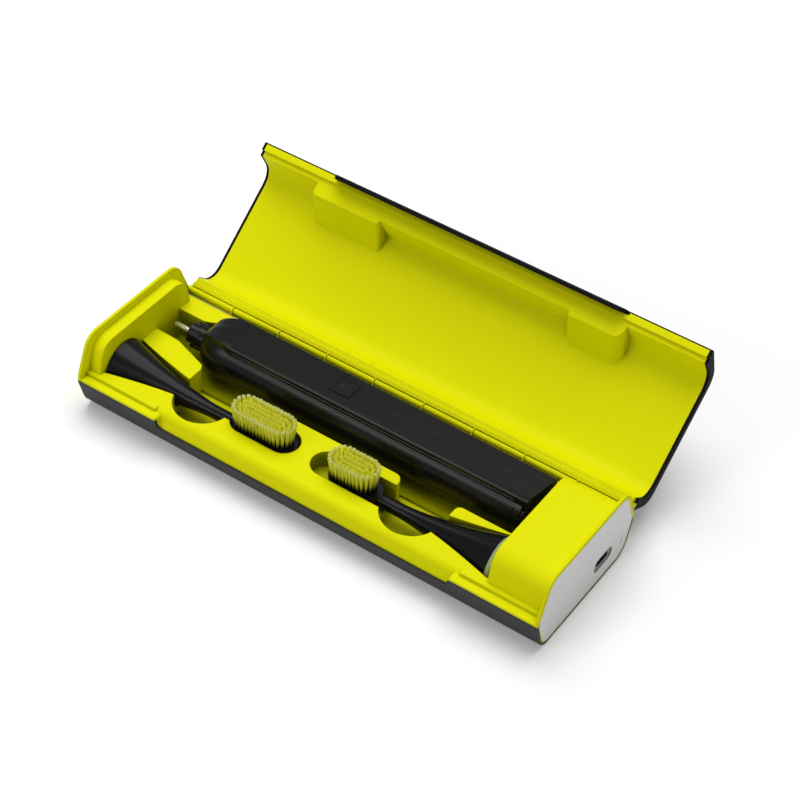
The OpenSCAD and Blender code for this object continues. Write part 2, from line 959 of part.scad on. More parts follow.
module handle_body() {
    color(black)
    difference() {
        union() {
            translate([nose_x, handle_y, handle_z])
                rotate([0, 90, 0])
                    rotate_extrude()
                        polygon(nose_profile);
            handle_bar();
        }
        // Bore for battery and motor, closed at the rear by the cap
        rod(cavity_x0, body_end_x - plug_l, handle_y, handle_z, cavity_r);
        rod(body_end_x - plug_l - fit, body_end_x + fit, handle_y, handle_z, cavity_r + plug_step);
        rod(nose_x - over, cavity_x0 + over, handle_y, handle_z, shaft_r + fit);
        // Thin ring groove before the rear end
        difference() {
            rod(ring_x - 0.4, ring_x, handle_y, handle_z, handle_r + over);
            rod(ring_x - over, ring_x + over, handle_y, handle_z, handle_r - 0.4);
            box(ring_x - over, ring_x + over, -big, big, handle_z + bar_foot, big);
        }
        // Seat of the glass-like face panel
        panel_space(0);
        side_grooves();
        button_well();
    }
}

panel_x0 = nose_x + nose_l;

module panel_space(gap) {
    intersection() {
        box(panel_x0 + gap, rear_x + over, -big, big, face_z - panel_t, face_z + over);
        on_handle_axis()
            along_x(nose_x, rear_x)
                polygon(bar_section);
        on_handle_axis()
            linear_extrude(big)
                polygon(face_outline);
    }
}

module face_panel() {
    color("#262628")
    difference() {
        panel_space(fit);
        // Window of the power button
        button_box(0.2, 0, big);
    }
}

button_h = 1.6;

// Square block about the middle of the button, wider by a gap on every side
module button_box(gap, z0, z1) {
    half = button_w / 2 + gap;
    box(button_x - half, button_x + half, handle_y - half, handle_y + half, z0, z1);
}

module button_well() {
    button_box(0.8, face_z - button_h - button_travel - 0.1, face_z + over);
}

module power_button() {
    color("#1b1b1d") {
        button_box(0, face_z - button_h, face_z + 0.1);
        // Raised frame round the key
        difference() {
            button_box(0, face_z, face_z + 0.3);
            button_box(-1, face_z - over, face_z + over);
        }
    }
}

module handle_end_cap() {
    color(black) {
        // Round plate under the overhanging end of the bar
        difference() {
            rod(body_end_x, body_end_x + cap_t, handle_y, handle_z, handle_r - cap_step);
            box(body_end_x - over, rear_x, -big, big, handle_z + bar_foot - 0.1, big);
        }
        rod(body_end_x - plug_l, body_end_x, handle_y, handle_z, cavity_r + plug_step - fit);
    }
}

// Thicker foot of the collar, and its lugs
collar_step_l = 5;
lug_l = 5;
lug_w = 1.8;

module neck_collar() {
    color(black)
    difference() {
        union() {
            rod(nose_x - collar_l, nose_x, handle_y, handle_z, collar_r);
            rod(nose_x - collar_step_l, nose_x, handle_y, handle_z, collar_r + 0.6);
            // Lugs that lock a brush head
            for (turn = [0:90:270])
                on_handle_axis()
                    rotate([turn + 45, 0, 0])
                        box(nose_x - lug_l - 3, nose_x - 3, -lug_w / 2, lug_w / 2, 0, collar_r + 1.1);
        }
        rod(nose_x - collar_l - over, nose_x + over, handle_y, handle_z, shaft_r + fit);
    }
}

motor_r = 7.1;
motor_l = 34;
motor_x0 = cavity_x0 + 1;
battery_r = 7.1;
battery_l = 50;
battery_x0 = motor_x0 + motor_l + 8;
frame_top = 7.8;
frame_l = motor_l + battery_l + 20;
// Board on top of the frame, and its distance from the frame's ends
handle_board_w = 12.8;
handle_board_t = 1;
frame_margin = 3;

module handle_frame() {
    color("#e8e8e6")
    difference() {
        rod(cavity_x0, cavity_x0 + frame_l, handle_y, handle_z, cavity_r - fit);
        box(-big * 2, big * 2, -big, big, handle_z + frame_top, big);
        rod(cavity_x0 - over, motor_x0 + motor_l + 2, handle_y, handle_z, motor_r + fit);
        rod(battery_x0 - 2, battery_x0 + battery_l, handle_y, handle_z, battery_r + fit);
        rod(cavity_x0, cavity_x0 + frame_l, handle_y, handle_z, 3);
    }
}

module drive_motor() {
    color(steel)
        rod(motor_x0, motor_x0 + motor_l, handle_y, handle_z, motor_r);
}

module handle_battery() {
    color("#3b6ea5")
        rod(battery_x0, battery_x0 + battery_l, handle_y, handle_z, battery_r);
}

module handle_board() {
    color(circuit)
        box(cavity_x0 + frame_margin, cavity_x0 + frame_l - frame_margin,
            handle_y - handle_board_w / 2, handle_y + handle_board_w / 2,
            handle_z + frame_top, handle_z + frame_top + handle_board_t);
}

module receiver_coil() {
    color(copper)
    difference() {
        rod(body_end_x - plug_l - coil_t, body_end_x - plug_l, handle_y, handle_z, coil_r);
        rod(body_end_x - plug_l - coil_t - over, body_end_x, handle_y, handle_z, coil_r - coil_w);
    }
}

module drive_shaft() {
    color(steel)
    difference() {
        rod(nose_x - collar_l - shaft_out, motor_x0 - 0.1, handle_y, handle_z, shaft_r);
        // Flat near the tip that takes the brush head along
        box(nose_x - collar_l - shaft_out - over, nose_x - collar_l - shaft_out + 6,
            -big, big, handle_z + shaft_r - 0.4, big);
    }
}

// ---------------------------------------------------------------- brush heads

socket_r = collar_r + 1.2;
sleeve_r = 2.4;
sleeve_l = 12;
slice_t = 0.6;

module brush_body(head_l, field_l) {
    plate_x0 = head_l - field_l - 2.5;
    plate_h = 5.4;
    color(black)
    difference() {
        union() {
            head_horn(plate_x0 + 4, 0, 0);
            // Plate that carries the bristles
            intersection() {
                translate([(plate_x0 + head_l) / 2, 0, -big / 2])
                    linear_extrude(big)
                        stadium(head_l - plate_x0, plate_w);
                along_x(0, head_l + over)
                    polygon(rounded([
                        [-plate_w / 2, plate_z - head_z - plate_h], [plate_w / 2, plate_z - head_z - plate_h],
                        [plate_w / 2, plate_z - head_z - slice_t], [-plate_w / 2, plate_z - head_z - slice_t]
                    ], [2.5, 2.5, 0, 0]));
            }
        }
        // Socket for the collar, and the bore of the sleeve
        rod(-over, collar_l, 0, 0, socket_r);
        rod(collar_l - over, collar_l + sleeve_l, 0, 0, sleeve_r + fit);
    }
}

module brush_sleeve() {
    color(steel)
    difference() {
        rod(collar_l, collar_l + sleeve_l, 0, 0, sleeve_r);
        rod(collar_l - over, collar_l + sleeve_l - 2, 0, 0, shaft_r + fit);
    }
}

// Point at distance s along a stadium of straight length straight and radius r
function stadium_point(s, straight, r) =
    let (arc = PI * r)
    s < straight ? [s - straight / 2, -r]
    : s < straight + arc ? let (a = (s - straight) / r * 180 / PI - 90) [straight / 2 + r * cos(a), r * sin(a)]
    : s < 2 * straight + arc ? [straight / 2 - (s - straight - arc), r]
    : let (a = (s - 2 * straight - arc) / r * 180 / PI + 90) [-straight / 2 + r * cos(a), r * sin(a)];

ring_count = 4;

// Oval rings of strands, the outer ring the tallest, on a slice of the plate's face
module brush_bristles(head_l, field_l) {
    middle = head_l - field_l / 2 - 1.3;
    strand_h = tip_z - plate_z;
    color(lime)
    translate([middle, 0, plate_z - head_z]) {
        translate([0, 0, -slice_t])
            linear_extrude(slice_t)
                stadium(field_l + 1, field_w + 1);
        for (ring = [0:ring_count - 1]) {
            r = (field_w - strand_d) / 2 - ring * strand_pitch;
            straight = field_l - field_w;
            round_l = 2 * straight + 2 * PI * r;
            count = floor(round_l / strand_pitch);
            for (i = [0:count - 1])
                translate(stadium_point(i * round_l / count, straight, r))
                    translate([0, 0, -slice_t / 2])
                        cylinder(h = strand_h + slice_t / 2 - (ring == 0 ? 0 : 1.2), d = strand_d, $fn = 4);
        }
    }
}

module brush_1_body() {
    head_1_place()
        brush_body(head_1_l, field_1_l);
}

module brush_1_sleeve() {
    head_1_place()
        brush_sleeve();
}

module brush_1_bristles() {
    head_1_place()
        brush_bristles(head_1_l, field_1_l);
}

module brush_2_body() {
    head_2_place()
        brush_body(head_2_l, field_2_l);
}

module brush_2_sleeve() {
    head_2_place()
        brush_sleeve();
}

module brush_2_bristles() {
    head_2_place()
        brush_bristles(head_2_l, field_2_l);
}

base_shell();
inner_tray();
end_plate();
usb_socket();
status_light_pipe();
charger_board();
board_screws();
charging_coil();
base_magnets();
hinge_pin();
lid_shell();
lid_liner();
lid_magnets();
handle_body();
face_panel();
handle_end_cap();
neck_collar();
handle_frame();
drive_motor();
handle_battery();
handle_board();
receiver_coil();
power_button();
drive_shaft();
brush_1_body();
brush_1_sleeve();
brush_1_bristles();
brush_2_body();
brush_2_sleeve();
brush_2_bristles();
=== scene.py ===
# %% [markdown]
# # A toothbrush travel case, dressed
# The case is a hinged box of matt black plastic with a bright yellow lining. A power brush handle
# and two spare brush heads lie in moulded pockets, and a charging port sits in its silver end.
# Its solids come from the CAD frame. This lesson sets the camera and the light, gives every part
# its finish, and models what a solid can't carry: the brushes' filaments.

import math
import random

import bpy
from mathutils import Matrix, Vector


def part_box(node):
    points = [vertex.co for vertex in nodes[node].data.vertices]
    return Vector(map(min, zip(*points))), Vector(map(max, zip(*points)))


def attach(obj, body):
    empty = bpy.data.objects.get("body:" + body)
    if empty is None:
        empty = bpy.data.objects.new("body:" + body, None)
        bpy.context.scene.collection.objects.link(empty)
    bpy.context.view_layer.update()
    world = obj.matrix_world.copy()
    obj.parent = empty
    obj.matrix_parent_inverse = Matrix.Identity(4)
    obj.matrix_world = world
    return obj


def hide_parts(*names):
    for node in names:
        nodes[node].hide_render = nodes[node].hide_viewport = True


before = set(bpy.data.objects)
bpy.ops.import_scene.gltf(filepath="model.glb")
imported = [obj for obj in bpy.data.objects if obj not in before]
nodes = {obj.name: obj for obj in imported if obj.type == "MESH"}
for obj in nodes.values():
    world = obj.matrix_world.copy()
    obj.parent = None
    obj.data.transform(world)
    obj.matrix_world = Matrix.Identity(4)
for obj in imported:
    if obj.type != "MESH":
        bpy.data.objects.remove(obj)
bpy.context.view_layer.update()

# %% [markdown]
# ## Units and selection
# Sizes are thought of in millimetres, and Blender works in metres. An operator acts on all that is
# selected, and the frame arrives selected, so each step starts from an empty selection.

# %% Millimetres and a clean selection
MM = 0.001


def mm(*values):
    """A place given in millimetres, as a vector in metres."""
    return Vector(values) * MM


def deselect():
    """Leaves edit mode and selects nothing."""
    if bpy.context.object and bpy.context.object.mode != "OBJECT":
        bpy.ops.object.mode_set(mode="OBJECT")
    bpy.ops.object.select_all(action="DESELECT")


deselect()
print("selected:", len(bpy.context.selected_objects))

# %% [markdown]
# ## Camera
# The photograph looks down on the case from the front and from the right. The camera's angles and
# distance were found from the case's straight edges, so they are plain numbers here. The matrix is
# built from its three directions: right and up in the picture, and back towards the photographer.

# %% Camera of the photograph
AZIMUTH = math.radians(32.06)
ELEVATION = math.radians(43.46)
ROLL = math.radians(-3.62)
DISTANCE = 904.4 * MM
AIM_RIGHT = 21.7 * MM
AIM_UP = 31.6 * MM
FOCAL_PIXELS = 2174.85
FRAME_PIXELS = 800

back = Vector((math.sin(AZIMUTH) * math.cos(ELEVATION),
               -math.cos(AZIMUTH) * math.cos(ELEVATION),
               math.sin(ELEVATION)))
level_right = Vector((math.cos(AZIMUTH), math.sin(AZIMUTH), 0))
level_up = back.cross(level_right)
right = level_right * math.cos(ROLL) - level_up * math.sin(ROLL)
up = level_right * math.sin(ROLL) + level_up * math.cos(ROLL)

camera_data = bpy.data.cameras.new("camera")
camera = bpy.data.objects.new("camera", camera_data)
bpy.context.collection.objects.link(camera)
bpy.context.scene.camera = camera
camera_data.sensor_width = 36
camera_data.lens = FOCAL_PIXELS / FRAME_PIXELS * camera_data.sensor_width
camera_data.clip_start = 0.05
camera_data.clip_end = 20
camera.matrix_world = Matrix.Translation(
    back * DISTANCE + right * AIM_RIGHT + up * AIM_UP
) @ Matrix((right, up, back)).transposed().to_4x4()
print("camera at", tuple(round(c, 3) for c in camera.location), "lens", round(camera_data.lens, 1))

# %% [markdown]
# ## Maths on sockets
# A finish is a small sum of noises and masks. Wrapping a socket in a class that knows + - * and /
# lets the sum be written as Python, and each operation adds one Math node.

# %% Signal: a socket that can be reckoned with


class Signal:
    """An output socket in a finish. Operators on it add Math nodes."""

    def __init__(self, finish, socket):
        self.finish = finish
        self.socket = socket

    def math(self, operation, *values):
        return self.finish.add("ShaderNodeMath", {"operation": operation}, dict(enumerate(values)))

    def __add__(self, other):
        return self.math("ADD", self, other)

    def __radd__(self, other):
        return self.math("ADD", other, self)

    def __sub__(self, other):
        return self.math("SUBTRACT", self, other)

    def __rsub__(self, other):
        return self.math("SUBTRACT", other, self)

    def __mul__(self, other):
        return self.math("MULTIPLY", self, other)

    def __rmul__(self, other):
        return self.math("MULTIPLY", other, self)

    def __truediv__(self, other):
        return self.math("DIVIDE", self, other)

    def __abs__(self):
        return self.math("ABSOLUTE", self)

    def below(self, edge, blur):
        """1 where the signal is under edge and 0 above it, with a soft step of width blur."""
        return self.finish.add("ShaderNodeMapRange",
                               {"clamp": True, "interpolation_type": "SMOOTHSTEP"},
                               {"Value": self, "From Min": edge - blur, "From Max": edge + blur,
                                "To Min": 1.0, "To Max": 0.0})

    def most(self, other):
        return self.math("MAXIMUM", self, other)

    def root(self):
        return self.math("SQRT", self)


print("signals ready")

# %% [markdown]
# ## A finish
# One class holds a material while it is made. Its add method makes any node from its type, its
# settings and its inputs. Values that are the same all over go straight onto the shader's sockets.

# %% Finish: one material and its nodes


class Finish:
    """A procedural material built around one Principled shader."""

    def __init__(self, name, color, roughness, **sockets):
        self.material = bpy.data.materials.new(name)
        self.material.use_nodes = True
        self.tree = self.material.node_tree
        self.shader = self.tree.nodes["Principled BSDF"]
        self.color = (*color, 1.0)
        self.set("Base Color", self.color)
        self.set("Roughness", roughness)
        for socket, value in sockets.items():
            self.set(socket.replace("_", " "), value)

    def add(self, kind, settings=None, inputs=None, output=0):
        """Adds a node of any kind and returns one of its outputs as a Signal."""
        node = self.tree.nodes.new(kind)
        for key, value in (settings or {}).items():
            if key == "stops":
                ramp = node.color_ramp.elements
                for index, (place, shade) in enumerate(value):
                    stop = ramp[index] if index < 2 else ramp.new(place)
                    stop.position = place
                    stop.color = shade
            else:
                setattr(node, key, value)
        for key, value in (inputs or {}).items():
            self.join(value, node.inputs[key])
        return Signal(self, node.outputs[output])

    def join(self, value, socket):
        """Links a Signal to a socket, or sets the socket to a plain value."""
        if isinstance(value, Signal):
            self.tree.links.new(value.socket, socket)
        else:
            socket.default_value = value

    def set(self, name, value):
        self.join(value, self.shader.inputs[name])

    def place(self):
        """The point on the surface, in metres."""
        return self.add("ShaderNodeTexCoord", {}, {}, "Object")

    def axes(self):
        """The three coordinates of the point on the surface."""
        split = self.tree.nodes.new("ShaderNodeSeparateXYZ")
        self.join(self.place(), split.inputs[0])
        return [Signal(self, split.outputs[i]) for i in range(3)]

    def noise(self, size, detail=2.0, roughness=0.5, stretch=(1, 1, 1)):
        """A noise from 0 to 1 whose features are about size metres across."""
        spot = self.add("ShaderNodeMapping", {}, {"Vector": self.place(), "Scale": stretch})
        return self.add("ShaderNodeTexNoise", {},
                        {"Vector": spot, "Scale": 1.0 / size, "Detail": detail,
                         "Roughness": roughness}, "Fac")

    def mix(self, factor, first, second):
        """A colour between two colours."""
        node = self.tree.nodes.new("ShaderNodeMix")
        node.data_type = "RGBA"
        self.join(factor, node.inputs["Factor"])
        self.join(first, node.inputs[6])
        self.join(second, node.inputs[7])
        return Signal(self, node.outputs[2])

    def bump(self, height, depth, rounding=None):
        """Raises the surface by a height from 0 to 1 times depth metres."""
        inputs = {"Height": height, "Strength": 1.0, "Distance": depth}
        if rounding:
            inputs["Normal"] = self.add("ShaderNodeBevel", {"samples": 6}, {"Radius": rounding})
        self.set("Normal", self.add("ShaderNodeBump", {}, inputs))

    def on(self, *names):
        """Gives the finish to CAD nodes or pieces."""
        for name in names:
            piece = nodes.get(name) or bpy.data.objects[name]
            piece.data.materials.clear()
            piece.data.materials.append(self.material)


print("finishes ready")

# %% [markdown]
# ## Floor
# The case stands on white paper. The paper glows a little where the camera, a gloss or a clear
# piece sees it, so that it reads as white while the shadow of the case stays on it. The glow
# lights nothing else.

# %% White paper
FLOOR_SIZE = 8.0
FLOOR_GAP = 0.2 * MM
PAPER_WHITE = (0.86, 0.86, 0.86, 1)
PAPER_GLOW = 0.16
bpy.ops.mesh.primitive_plane_add(size=FLOOR_SIZE, location=(0, 0, -FLOOR_GAP))
floor = bpy.context.object
floor.name = "floor"

paper = bpy.data.materials.new("paper")
paper.use_nodes = True
paper_nodes = paper.node_tree.nodes
paper_links = paper.node_tree.links
paper_nodes.clear()
paper_out = paper_nodes.new("ShaderNodeOutputMaterial")
paper_sum = paper_nodes.new("ShaderNodeAddShader")
paper_matt = paper_nodes.new("ShaderNodeBsdfDiffuse")
paper_matt.inputs["Color"].default_value = PAPER_WHITE
paper_glow = paper_nodes.new("ShaderNodeEmission")
paper_glow.inputs["Color"].default_value = (1, 1, 1, 1)
paper_ray = paper_nodes.new("ShaderNodeLightPath")
seen = paper_ray.outputs["Is Camera Ray"]
for ray in ("Is Glossy Ray", "Is Transmission Ray"):
    either = paper_nodes.new("ShaderNodeMath")
    either.operation = "MAXIMUM"
    paper_links.new(seen, either.inputs[0])
    paper_links.new(paper_ray.outputs[ray], either.inputs[1])
    seen = either.outputs[0]
paper_level = paper_nodes.new("ShaderNodeMath")
paper_level.operation = "MULTIPLY"
paper_level.inputs[1].default_value = PAPER_GLOW
paper_links.new(seen, paper_level.inputs[0])
paper_links.new(paper_level.outputs[0], paper_glow.inputs["Strength"])
paper_links.new(paper_matt.outputs[0], paper_sum.inputs[0])
paper_links.new(paper_glow.outputs[0], paper_sum.inputs[1])
paper_links.new(paper_sum.outputs[0], paper_out.inputs["Surface"])
floor.data.materials.append(paper)
print("floor", FLOOR_SIZE, "m")

# %% [markdown]
# ## Light
# A plain pale sky fills the shadows. One wide soft box above gives the soft shadow of a product
# picture, and a weak one in front and to the left lifts the front edges.

# %% World and lamps
SKY_STRENGTH = 0.30
world = bpy.data.worlds.new("studio")
bpy.context.scene.world = world
world.use_nodes = True
world_nodes = world.node_tree.nodes
sky = world_nodes["Background"]
sky.inputs["Color"].default_value = (1, 1, 1, 1)
sky.inputs["Strength"].default_value = SKY_STRENGTH
print("sky strength", SKY_STRENGTH)


def lamp(name, place, target, size, watts):
    """A square soft box that looks at a point."""
    data = bpy.data.lights.new(name, "AREA")
    data.shape = "SQUARE"
    data.size = size
    data.energy = watts
    light = bpy.data.objects.new(name, data)
    bpy.context.collection.objects.link(light)
    light.location = place
    light.rotation_euler = (Vector(target) - Vector(place)).to_track_quat("-Z", "Y").to_euler()
    return light


CASE_MIDDLE = (0, 0.02, 0.02)
lamp("top_box", (-0.15, 0.3, 1.3), CASE_MIDDLE, 1.3, 16)
lamp("front_box", (-0.45, -1.0, 0.65), CASE_MIDDLE, 0.5, 2.5)

scene = bpy.context.scene
scene.view_settings.view_transform = "Standard"

# %% [markdown]
# ## Yellow lining
# Tray and liner are moulded in one bright yellow plastic with a satin skin. Its colour hardly
# varies: a broad cloud of noise shifts it a little, a fine grain breaks up the gloss, and a Bevel
# node rounds the look of sharp edges as a mould's small radii do. Deep in the pockets shade is
# painted into the colour as olive. An Ambient Occlusion node finds those hollows, and a soft step
# keeps the decks bright.

# %% Yellow plastic
YELLOW = (0.79, 0.785, 0.0)
YELLOW_SHADE = (0.75, 0.75, 0.0)
HINGE_HIGHLIGHT_BEIGE = (0.62, 0.58, 0.36)
PAINTED_SHADE_OLIVE = (0.13, 0.145, 0.0)
PAINTED_SHADE_REACH = 22 * MM
PAINTED_SHADE_EDGE = 0.32
PAINTED_SHADE_BLUR = 0.26
PAINTED_SHADE_DEPTH = 0.92
# Painted highlight: a pale line that runs along the hinge barrel, behind the deck
HINGE_HIGHLIGHT_Y = 34.15 * MM
HINGE_HIGHLIGHT_LOW_Z = 17.5 * MM
HINGE_HIGHLIGHT_HALF_W = 0.2 * MM


def yellow_plastic(name, color, shade, rounding, highlight_y=None):
    """The lining's plastic, with softened edges, painted shade in its hollows and, at highlight_y, a
    painted pale highlight along x.
    """
    finish = Finish(name, color, 0.55, Specular_IOR_Level=0.06)
    cloud = finish.noise(50 * MM, detail=1.0)
    grain = finish.noise(0.45 * MM, detail=2.0)
    openness = finish.add("ShaderNodeAmbientOcclusion", {"samples": 6},
                          {"Distance": PAINTED_SHADE_REACH}, "AO")
    paint = finish.mix(cloud, (*color, 1), (*shade, 1))
    # Painted shade: the hollows that the AO node finds are painted olive
    painted_shade = openness.below(PAINTED_SHADE_EDGE, PAINTED_SHADE_BLUR) * PAINTED_SHADE_DEPTH
    paint = finish.mix(painted_shade, paint, (*PAINTED_SHADE_OLIVE, 1))
    # A painted highlight: a pale line along x on the front of the hinge barrel
    if highlight_y:
        x, y, z = finish.axes()
        line = abs(y - highlight_y).below(HINGE_HIGHLIGHT_HALF_W, 0.08 * MM)
        above = (HINGE_HIGHLIGHT_LOW_Z - z).below(0, 0.1 * MM)
        paint = finish.mix(line * above, paint, (*HINGE_HIGHLIGHT_BEIGE, 1))
    finish.set("Base Color", paint)
    finish.set("Roughness", 0.5 + grain * 0.14)
    finish.bump(grain, 0.03 * MM, rounding)
    return finish


TRAY_ROUNDING = 0.9 * MM
LINER_ROUNDING = 0.5 * MM
yellow_plastic("tray_yellow", YELLOW, YELLOW_SHADE, TRAY_ROUNDING, HINGE_HIGHLIGHT_Y).on("inner_tray")
yellow_plastic("liner_yellow", YELLOW, YELLOW_SHADE, LINER_ROUNDING).on("lid_liner")
print("yellow", YELLOW)

# %% [markdown]
# ## Black shells
# The outside is matt black plastic with an even grain. Use polishes it in places, so a slow noise
# makes the roughness wander a little, and a fine one mottles the black. The lid is the same plastic,
# given a deeper black than the lower shell as painted shade.

# %% Matt black plastic


def black_plastic(name, color, roughness, gloss, grain_size, depth, rounding):
    """A black plastic with a grain of a given size and depth, and softened edges."""
    finish = Finish(name, color, roughness, Specular_IOR_Level=gloss)
    grain = finish.noise(grain_size, detail=3.0, roughness=0.6)
    rubbed = finish.noise(30 * MM, detail=2.0)
    lighter = tuple(c * 1.35 + 0.002 for c in color)
    finish.set("Base Color", finish.mix(grain, (*color, 1), (*lighter, 1)))
    finish.set("Roughness", roughness - 0.06 + grain * 0.08 + rubbed * 0.06)
    finish.bump(grain, depth, rounding)
    return finish


SHELL_BLACK = (0.032, 0.033, 0.034)
LID_SHADED_BLACK = (0.005, 0.005, 0.005)
SHELL_GRAIN = (0.4 * MM, 0.04 * MM, 0.4 * MM)
black_plastic("shell_black", SHELL_BLACK, 0.55, 0.15, *SHELL_GRAIN).on("base_shell")
# Painted shade: the lid's black is darker than the lower shell's, on the same plastic
black_plastic("lid_shaded_black", LID_SHADED_BLACK, 0.6, 0.05, *SHELL_GRAIN).on("lid_shell")
print("shells are black")

# %% [markdown]
# ## Silver end
# The end plate is painted a satin silver: a fine metallic flake under a soft clear coat. The
# dished oval round the port is painted darker, as shade in the dish. A mask finds it by depth,
# because only the dish lies below the plate's outer face, and keeps to the surroundings of the port.

# %% Silver plate
SILVER = (0.66, 0.65, 0.65)
DISH_SHADE_GREY = (0.33, 0.33, 0.32)
silver = Finish("end_silver", SILVER, 0.42, Metallic=0.4, Coat_Weight=0.1, Coat_Roughness=0.3)
DISH_PAINT_EDGE = 0.06 * MM
DISH_REACH = 7.2 * MM
port_low, port_high = (Vector(corner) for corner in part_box("usb_socket"))
port_y = (port_low.y + port_high.y) / 2
port_z = (port_low.z + port_high.z) / 2
plate_x, plate_y, plate_z = silver.axes()
sunk = plate_x.below(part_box("end_plate")[1][0] - DISH_PAINT_EDGE, 0.02 * MM)
near = abs(plate_y - port_y).most(abs(plate_z - port_z)).below(DISH_REACH, 0.05 * MM)
# Painted shade: the dish round the port is painted a darker grey
silver.set("Base Color", silver.mix(sunk * near, silver.color, (*DISH_SHADE_GREY, 1)))
flake = silver.noise(0.3 * MM, detail=2.0)
silver.set("Roughness", 0.38 + flake * 0.1)
silver.bump(flake, 0.01 * MM, 0.3 * MM)
silver.on("end_plate")
print("end plate is silver")

# %% [markdown]
# ## Metal parts
# Pin, screws, magnets, motor, shaft and sleeves are bright steel with faint turning marks, a noise
# that is squeezed along x. The port's shell is steel painted near black as shade, so that its slot
# reads as a hole.

# %% Bright steel
bright = Finish("bright_steel", (0.62, 0.61, 0.59), 0.25, Metallic=1.0)
turning = bright.noise(0.4 * MM, detail=2.0, stretch=(8, 1, 1))
bright.set("Roughness", 0.18 + turning * 0.16)
bright.bump(turning, 0.008 * MM)
bright.on("hinge_pin", "board_screws", "base_magnets", "lid_magnets", "drive_motor", "drive_shaft",
          "brush_1_sleeve", "brush_2_sleeve")
print("steel parts done")

# %% Steel of the port, painted dark as shade
# Painted shade: the port's shell is given a near black so its slot reads as a hole
port_shaded_steel = Finish("port_shaded_steel", (0.05, 0.05, 0.05), 0.35, Metallic=0.8)
port_wear = port_shaded_steel.noise(0.5 * MM, detail=2.0)
port_shaded_steel.set("Roughness", 0.3 + port_wear * 0.15)
port_shaded_steel.bump(port_wear, 0.008 * MM)
port_shaded_steel.on("usb_socket")
print("port is dark steel")

# %% [markdown]
# ## The handle
# The handle is black with a soft highlight along its round side. It is smoother than the shells, so
# the same finish is used with less roughness and a shallower grain.

# %% Black handle
HANDLE_BLACK = (0.004, 0.0038, 0.004)
black_plastic("handle_black", HANDLE_BLACK, 0.22, 0.26, 0.5 * MM, 0.012 * MM, 0.25 * MM).on(
    "handle_body", "handle_end_cap", "neck_collar")
print("handle is black")

# %% [markdown]
# ## The heads
# Both brush heads are the same glossy black as the handle. The right one has a pale band at its
# foot, a painted highlight where its rim catches the light and the yellow of the lining. A mask on
# the distance from the foot is enough for it.

# %% Heads, one with a painted highlight at its foot
FOOT_HIGHLIGHT_PALE = (0.30, 0.34, 0.16)
FOOT_HIGHLIGHT_W = 2.0 * MM
HEAD_BLACK = (0.005, 0.005, 0.0055)


def head_black(name):
    return black_plastic(name, HEAD_BLACK, 0.22, 0.16, 0.6 * MM, 0.008 * MM, 0.2 * MM)


head_black("head_black").on("brush_1_body")
highlighted_head = head_black("head_black_foot_highlight")
head2_x, head2_y, head2_z = highlighted_head.axes()
foot_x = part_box("brush_2_body")[1][0]
# Painted highlight: a pale olive band round the right head's foot
foot = abs(head2_x - foot_x).below(FOOT_HIGHLIGHT_W, 0.1 * MM)
highlighted_head.set("Base Color", highlighted_head.mix(foot, (*HEAD_BLACK, 1), (*FOOT_HIGHLIGHT_PALE, 1)))
highlighted_head.on("brush_2_body")
print("heads are black, the right one with a pale foot")

# %% [markdown]
# ## The face
# The handle's flat face is one smooth panel, with the power button in it. Its small marks only show
# when lit, so they are one faint grey on the black: a ring at each light and the power sign on the
# button. The same grey is a painted highlight along the seam across the panel. Each is a mask drawn
# from distances.

# %% Face panel with faint marks
FACE_BLACK = (0.0085, 0.008, 0.008)
MARK_AND_HIGHLIGHT_GREY = (0.024, 0.023, 0.024)
BUTTON_X = -14 * MM
HANDLE_Y = 16.3 * MM
MARK_PLACES = (2, 12, 21, 31, 66)
MARK_R = 0.8 * MM
SIGN_R = 1.9 * MM
FACE_SEAM_X = -67 * MM


def face_black(name):
    finish = Finish(name, FACE_BLACK, 0.3, Specular_IOR_Level=0.12)
    x, y, z = finish.axes()
    marks = None
    for place in MARK_PLACES:
        dx = x - place * MM
        dy = y - HANDLE_Y
        ring = abs((dx * dx + dy * dy).root() - MARK_R)
        mask = ring.below(0.12 * MM, 0.05 * MM)
        marks = mask if marks is None else marks.most(mask)
    dx = x - BUTTON_X
    dy = y - HANDLE_Y
    radius = (dx * dx + dy * dy).root()
    symbol = abs(radius - SIGN_R).below(0.2 * MM, 0.06 * MM)
    stem = (abs(dx + 1.6 * MM).most(abs(dy) * 4)).below(1.3 * MM, 0.1 * MM)
    # Painted highlight: a faint pale line along the panel's seam
    seam_highlight = abs(x - FACE_SEAM_X).below(0.15 * MM, 0.06 * MM)
    marks = marks.most(symbol).most(stem).most(seam_highlight)
    finish.set("Base Color", finish.mix(marks, (*FACE_BLACK, 1), (*MARK_AND_HIGHLIGHT_GREY, 1)))
    haze = finish.noise(20 * MM, detail=3.0)
    finish.set("Roughness", 0.26 + haze * 0.08)
    grain = finish.noise(0.6 * MM, detail=1.0)
    finish.bump(grain, 0.006 * MM, 0.15 * MM)
    return finish


face_black("face_black").on("face_panel", "power_button")
print("face marks at", MARK_PLACES)

# %% [markdown]
# ## Parts that hide inside
# Board, coils, cell, motor frame and light pipe are seldom seen, but each has its own finish.

# %% Circuit boards, coils, frame, cell and light pipe
BOARD_GREEN = (0.02, 0.11, 0.05)
TRACK_GREEN = (0.03, 0.16, 0.07)
board_green = Finish("board_green", BOARD_GREEN, 0.35, Coat_Weight=0.4)
tracks = board_green.noise(1.5 * MM, detail=0.0)
board_green.set("Base Color", board_green.mix(
    tracks.below(0.5, 0.01), (*BOARD_GREEN, 1), (*TRACK_GREEN, 1)))
board_green.bump(tracks, 0.03 * MM)
board_green.on("charger_board", "handle_board")

